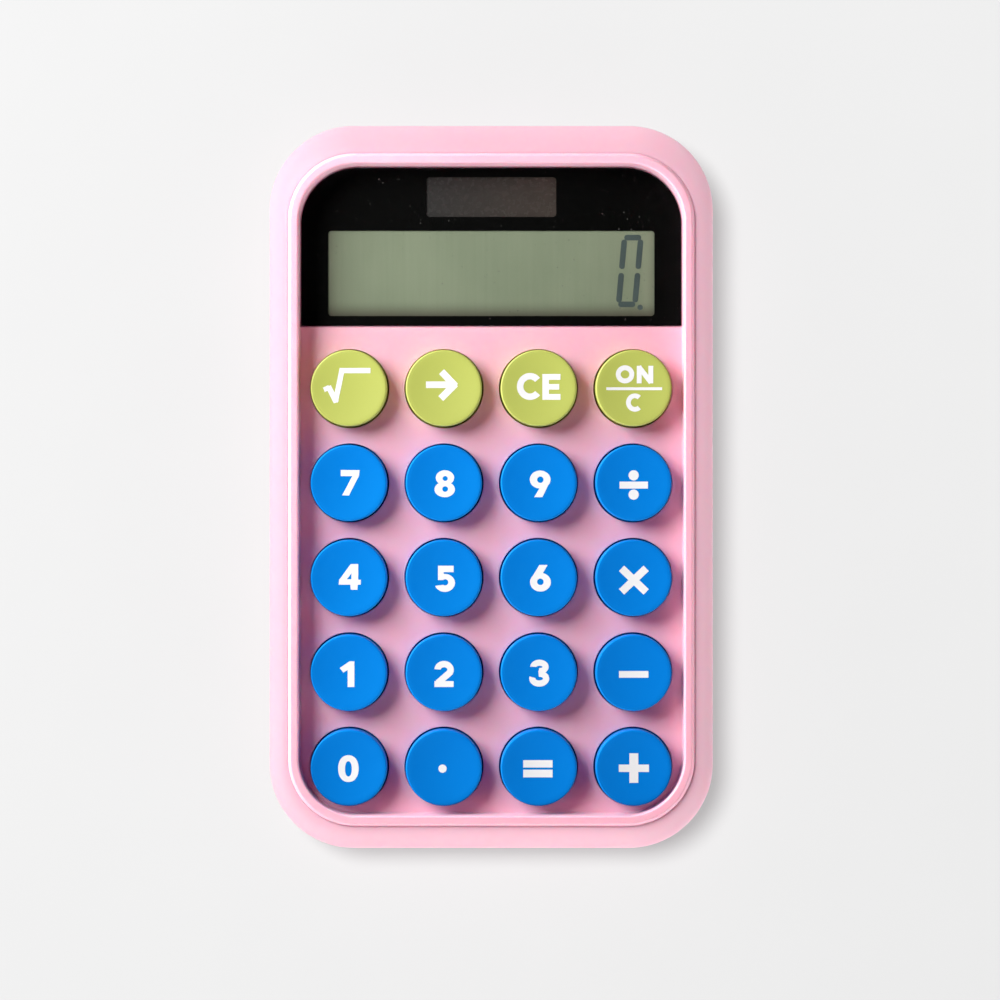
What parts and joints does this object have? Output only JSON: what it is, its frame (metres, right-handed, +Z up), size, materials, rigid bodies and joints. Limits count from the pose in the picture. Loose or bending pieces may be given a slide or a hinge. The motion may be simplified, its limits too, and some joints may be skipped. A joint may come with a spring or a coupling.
{
  "type": "desk calculator",
  "caption": "Pocket-sized desk calculator: rounded outer case, inset cover with a raised rim, dark lens over a solar window and one-line display, round keys, sliding battery door.",
  "frame": {"origin": "middle of the footprint, on the surface that the rubber feet stand on", "axes": "+Z up out of the keys, +Y towards the display, +X to the right of a person reading the keys"},
  "size_m": [0.0896, 0.146, 0.018],
  "materials": {
    "case_plastic": "fine satin moulded finish",
    "key_blue": "fine matte grain",
    "key_lime": "fine matte grain",
    "lens_clear": "clear polished acrylic",
    "lens_ink": "opaque black ink under the lens",
    "adhesive_tape": "thin double-sided tape",
    "polarizer_film": "grey-green film",
    "lcd_glass": "thin glass",
    "reflector_film": "satin grey-green film",
    "frame_plastic": "plain moulded",
    "strip_rubber": "soft",
    "solar_glass": "dark amorphous cell on glass",
    "foam_pad": "soft foam",
    "wire_jacket": "thin insulated wire",
    "board_laminate": "solder-masked laminate",
    "chip_epoxy": "cured black epoxy",
    "capacitor_sleeve": "shrink sleeve",
    "membrane_silicone": "milky silicone",
    "screw_steel": "zinc plated",
    "foot_rubber": "soft translucent grey",
    "cell_steel": "nickel plated",
    "contact_metal": "sprung, plated"
  },
  "bodies": {
    "root": {"rear_case": "case_plastic", "top_cover": "case_plastic", "display_lens": "lens_clear", "lens_print": "lens_ink", "lens_tape": "adhesive_tape", "lcd_polarizer": "polarizer_film", "lcd_glass": "lcd_glass", "lcd_reflector": "reflector_film", "lcd_frame": "frame_plastic", "connector_strip": "strip_rubber", "solar_cell": "solar_glass", "solar_pad": "foam_pad", "solar_wires": "wire_jacket", "circuit_board": "board_laminate", "chip_cap": "chip_epoxy", "capacitor": "capacitor_sleeve", "resistors": "chip_epoxy", "keypad_membrane": "membrane_silicone", "board_screws": "screw_steel", "housing_screws": "screw_steel", "rubber_feet": "foot_rubber", "battery_cell": "cell_steel", "battery_contact_plus": "contact_metal", "battery_contact_minus": "contact_metal", "battery_wires": "wire_jacket"},
    "battery_door": {"battery_door": "case_plastic"},
    "key_root": {"key_root": "key_lime"},
    "key_backspace": {"key_backspace": "key_lime"},
    "key_clear_entry": {"key_clear_entry": "key_lime"},
    "key_on_clear": {"key_on_clear": "key_lime"},
    "key_7": {"key_7": "key_blue"},
    "key_8": {"key_8": "key_blue"},
    "key_9": {"key_9": "key_blue"},
    "key_divide": {"key_divide": "key_blue"},
    "key_4": {"key_4": "key_blue"},
    "key_5": {"key_5": "key_blue"},
    "key_6": {"key_6": "key_blue"},
    "key_multiply": {"key_multiply": "key_blue"},
    "key_1": {"key_1": "key_blue"},
    "key_2": {"key_2": "key_blue"},
    "key_3": {"key_3": "key_blue"},
    "key_minus": {"key_minus": "key_blue"},
    "key_0": {"key_0": "key_blue"},
    "key_point": {"key_point": "key_blue"},
    "key_equals": {"key_equals": "key_blue"},
    "key_plus": {"key_plus": "key_blue"}
  },
  "joints": [
    {"name": "key_root_press", "type": "slide", "parent": "root", "child": "key_root", "axis": [0, 0, -1], "range_m": [0, 0.0015], "stiffness_N_per_m": 400, "springref_m": -0.0005, "deforming": ["keypad_membrane"]},
    {"name": "key_backspace_press", "type": "slide", "parent": "root", "child": "key_backspace", "axis": [0, 0, -1], "range_m": [0, 0.0015], "stiffness_N_per_m": 400, "springref_m": -0.0005, "deforming": ["keypad_membrane"]},
    {"name": "key_clear_entry_press", "type": "slide", "parent": "root", "child": "key_clear_entry", "axis": [0, 0, -1], "range_m": [0, 0.0015], "stiffness_N_per_m": 400, "springref_m": -0.0005, "deforming": ["keypad_membrane"]},
    {"name": "key_on_clear_press", "type": "slide", "parent": "root", "child": "key_on_clear", "axis": [0, 0, -1], "range_m": [0, 0.0015], "stiffness_N_per_m": 400, "springref_m": -0.0005, "deforming": ["keypad_membrane"]},
    {"name": "key_7_press", "type": "slide", "parent": "root", "child": "key_7", "axis": [0, 0, -1], "range_m": [0, 0.0015], "stiffness_N_per_m": 400, "springref_m": -0.0005, "deforming": ["keypad_membrane"]},
    {"name": "key_8_press", "type": "slide", "parent": "root", "child": "key_8", "axis": [0, 0, -1], "range_m": [0, 0.0015], "stiffness_N_per_m": 400, "springref_m": -0.0005, "deforming": ["keypad_membrane"]},
    {"name": "key_9_press", "type": "slide", "parent": "root", "child": "key_9", "axis": [0, 0, -1], "range_m": [0, 0.0015], "stiffness_N_per_m": 400, "springref_m": -0.0005, "deforming": ["keypad_membrane"]},
    {"name": "key_divide_press", "type": "slide", "parent": "root", "child": "key_divide", "axis": [0, 0, -1], "range_m": [0, 0.0015], "stiffness_N_per_m": 400, "springref_m": -0.0005, "deforming": ["keypad_membrane"]},
    {"name": "key_4_press", "type": "slide", "parent": "root", "child": "key_4", "axis": [0, 0, -1], "range_m": [0, 0.0015], "stiffness_N_per_m": 400, "springref_m": -0.0005, "deforming": ["keypad_membrane"]},
    {"name": "key_5_press", "type": "slide", "parent": "root", "child": "key_5", "axis": [0, 0, -1], "range_m": [0, 0.0015], "stiffness_N_per_m": 400, "springref_m": -0.0005, "deforming": ["keypad_membrane"]},
    {"name": "key_6_press", "type": "slide", "parent": "root", "child": "key_6", "axis": [0, 0, -1], "range_m": [0, 0.0015], "stiffness_N_per_m": 400, "springref_m": -0.0005, "deforming": ["keypad_membrane"]},
    {"name": "key_multiply_press", "type": "slide", "parent": "root", "child": "key_multiply", "axis": [0, 0, -1], "range_m": [0, 0.0015], "stiffness_N_per_m": 400, "springref_m": -0.0005, "deforming": ["keypad_membrane"]},
    {"name": "key_1_press", "type": "slide", "parent": "root", "child": "key_1", "axis": [0, 0, -1], "range_m": [0, 0.0015], "stiffness_N_per_m": 400, "springref_m": -0.0005, "deforming": ["keypad_membrane"]},
    {"name": "key_2_press", "type": "slide", "parent": "root", "child": "key_2", "axis": [0, 0, -1], "range_m": [0, 0.0015], "stiffness_N_per_m": 400, "springref_m": -0.0005, "deforming": ["keypad_membrane"]},
    {"name": "key_3_press", "type": "slide", "parent": "root", "child": "key_3", "axis": [0, 0, -1], "range_m": [0, 0.0015], "stiffness_N_per_m": 400, "springref_m": -0.0005, "deforming": ["keypad_membrane"]},
    {"name": "key_minus_press", "type": "slide", "parent": "root", "child": "key_minus", "axis": [0, 0, -1], "range_m": [0, 0.0015], "stiffness_N_per_m": 400, "springref_m": -0.0005, "deforming": ["keypad_membrane"]},
    {"name": "key_0_press", "type": "slide", "parent": "root", "child": "key_0", "axis": [0, 0, -1], "range_m": [0, 0.0015], "stiffness_N_per_m": 400, "springref_m": -0.0005, "deforming": ["keypad_membrane"]},
    {"name": "key_point_press", "type": "slide", "parent": "root", "child": "key_point", "axis": [0, 0, -1], "range_m": [0, 0.0015], "stiffness_N_per_m": 400, "springref_m": -0.0005, "deforming": ["keypad_membrane"]},
    {"name": "key_equals_press", "type": "slide", "parent": "root", "child": "key_equals", "axis": [0, 0, -1], "range_m": [0, 0.0015], "stiffness_N_per_m": 400, "springref_m": -0.0005, "deforming": ["keypad_membrane"]},
    {"name": "key_plus_press", "type": "slide", "parent": "root", "child": "key_plus", "axis": [0, 0, -1], "range_m": [0, 0.0015], "stiffness_N_per_m": 400, "springref_m": -0.0005, "deforming": ["keypad_membrane"]},
    {"name": "battery_door_slide", "type": "slide", "parent": "root", "child": "battery_door", "axis": [0, 1, 0], "range_m": [0, 0.004]}
  ]
}
